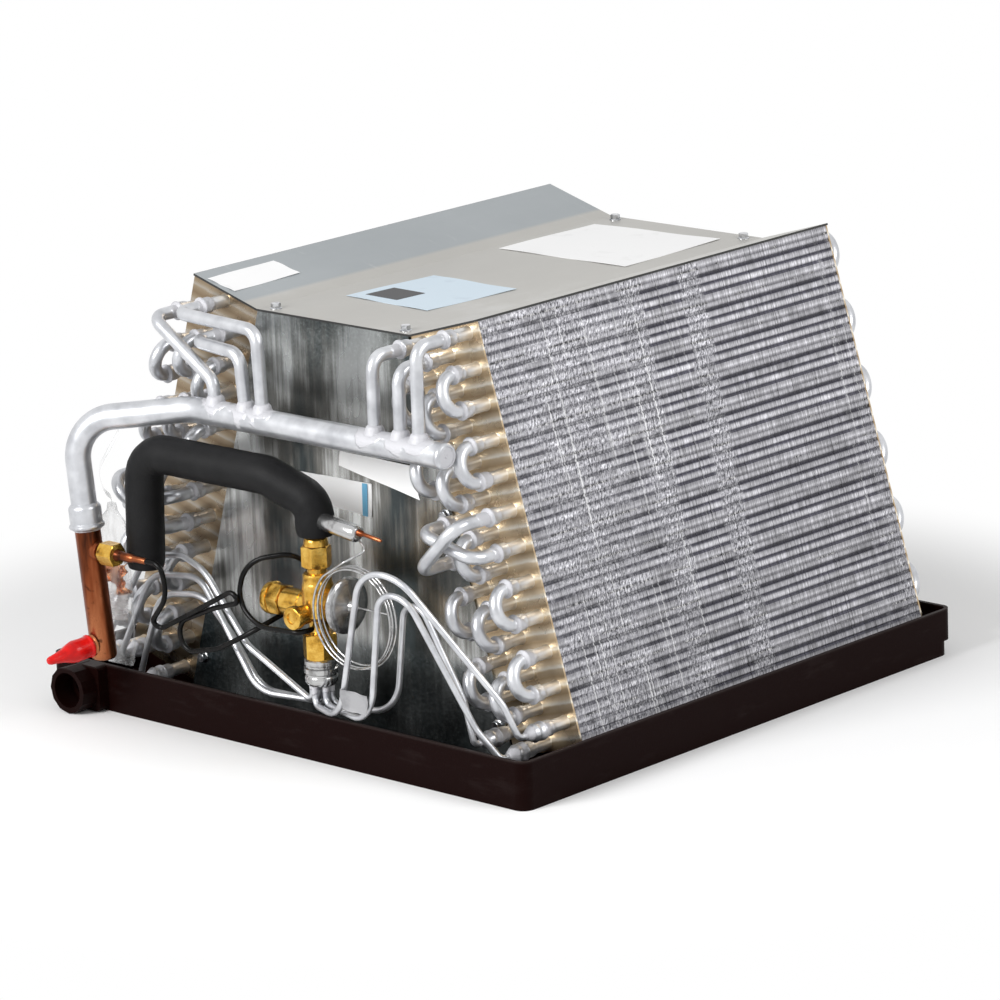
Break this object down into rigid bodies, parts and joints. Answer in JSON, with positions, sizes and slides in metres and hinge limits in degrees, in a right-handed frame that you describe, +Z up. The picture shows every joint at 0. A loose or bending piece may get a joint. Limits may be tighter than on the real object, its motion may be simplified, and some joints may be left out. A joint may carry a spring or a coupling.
{
  "type": "a-coil evaporator",
  "caption": "Uncased A-shaped cooling coil: two leaning fin-and-tube slabs in a drain pan under a folded cover, with suction header, expansion valve and feeder tubes at the front.",
  "frame": {"origin": "middle of the overall box, at the underside of the drain pan", "axes": "+Z up; -Y towards the piping side; +X to the right seen from the piping side"},
  "size_m": [0.472, 0.5508, 0.3206],
  "materials": {
    "pan": "moulded, fine grain",
    "fins": "thin corrugated fins",
    "tube_sheet": "bright galvanised sheet",
    "tube": "satin drawn tube, paler where brazed",
    "cover": "satin",
    "panel": "galvanised sheet",
    "screw": "zinc plated",
    "copper": "drawn copper tube",
    "brass": "machined",
    "foam": "closed-cell foam",
    "red_cap": "gloss",
    "bright_steel": "turned, plated",
    "coating": "gloss coating",
    "clear_bag": "thin clear film, crumpled"
  },
  "bodies": {
    "root": {"back_panel": "panel", "bag_tie": "clear_bag", "bulb_capillary": "bright_steel", "cover_screws": "screw", "distributor": "bright_steel", "drain_pan": "pan", "equaliser_nut": "brass", "equaliser_sleeve": "bright_steel", "equaliser_tube": "coating", "foam_sleeve": "foam", "front_panel": "panel", "front_plug": "brass", "header_cap": "tube", "inlet_nut": "brass", "joint_cones": "tube", "left_back_tube_sheet": "tube_sheet", "left_circuit_tubes": "tube", "left_fin_pack": "fins", "left_front_tube_sheet": "tube_sheet", "left_hairpin_bends": "tube", "left_inner_capillary": "tube", "left_inner_crossover": "tube", "left_inner_feeder": "tube", "left_middle_capillary": "tube", "left_middle_feeder": "tube", "left_outer_capillary": "tube", "left_outer_crossover": "tube", "left_outer_feeder": "tube", "left_return_bends": "tube", "liquid_line": "copper", "outlet_nut": "brass", "panel_screws": "screw", "parts_bag": "clear_bag", "port_cap": "red_cap", "power_head": "bright_steel", "right_back_tube_sheet": "tube_sheet", "right_circuit_tubes": "tube", "right_fin_pack": "fins", "right_front_tube_sheet": "tube_sheet", "right_hairpin_bends": "tube", "right_inner_capillary": "tube", "right_inner_crossover": "tube", "right_inner_feeder": "tube", "right_middle_capillary": "tube", "right_middle_feeder": "tube", "right_outer_capillary": "tube", "right_outer_crossover": "tube", "right_outer_feeder": "tube", "right_return_bends": "tube", "sensing_bulb": "bright_steel", "stem_cap": "brass", "stub_coupling": "tube", "suction_header": "tube", "suction_stub": "copper", "top_cover": "cover", "valve_body": "brass"}
  },
  "joints": []
}
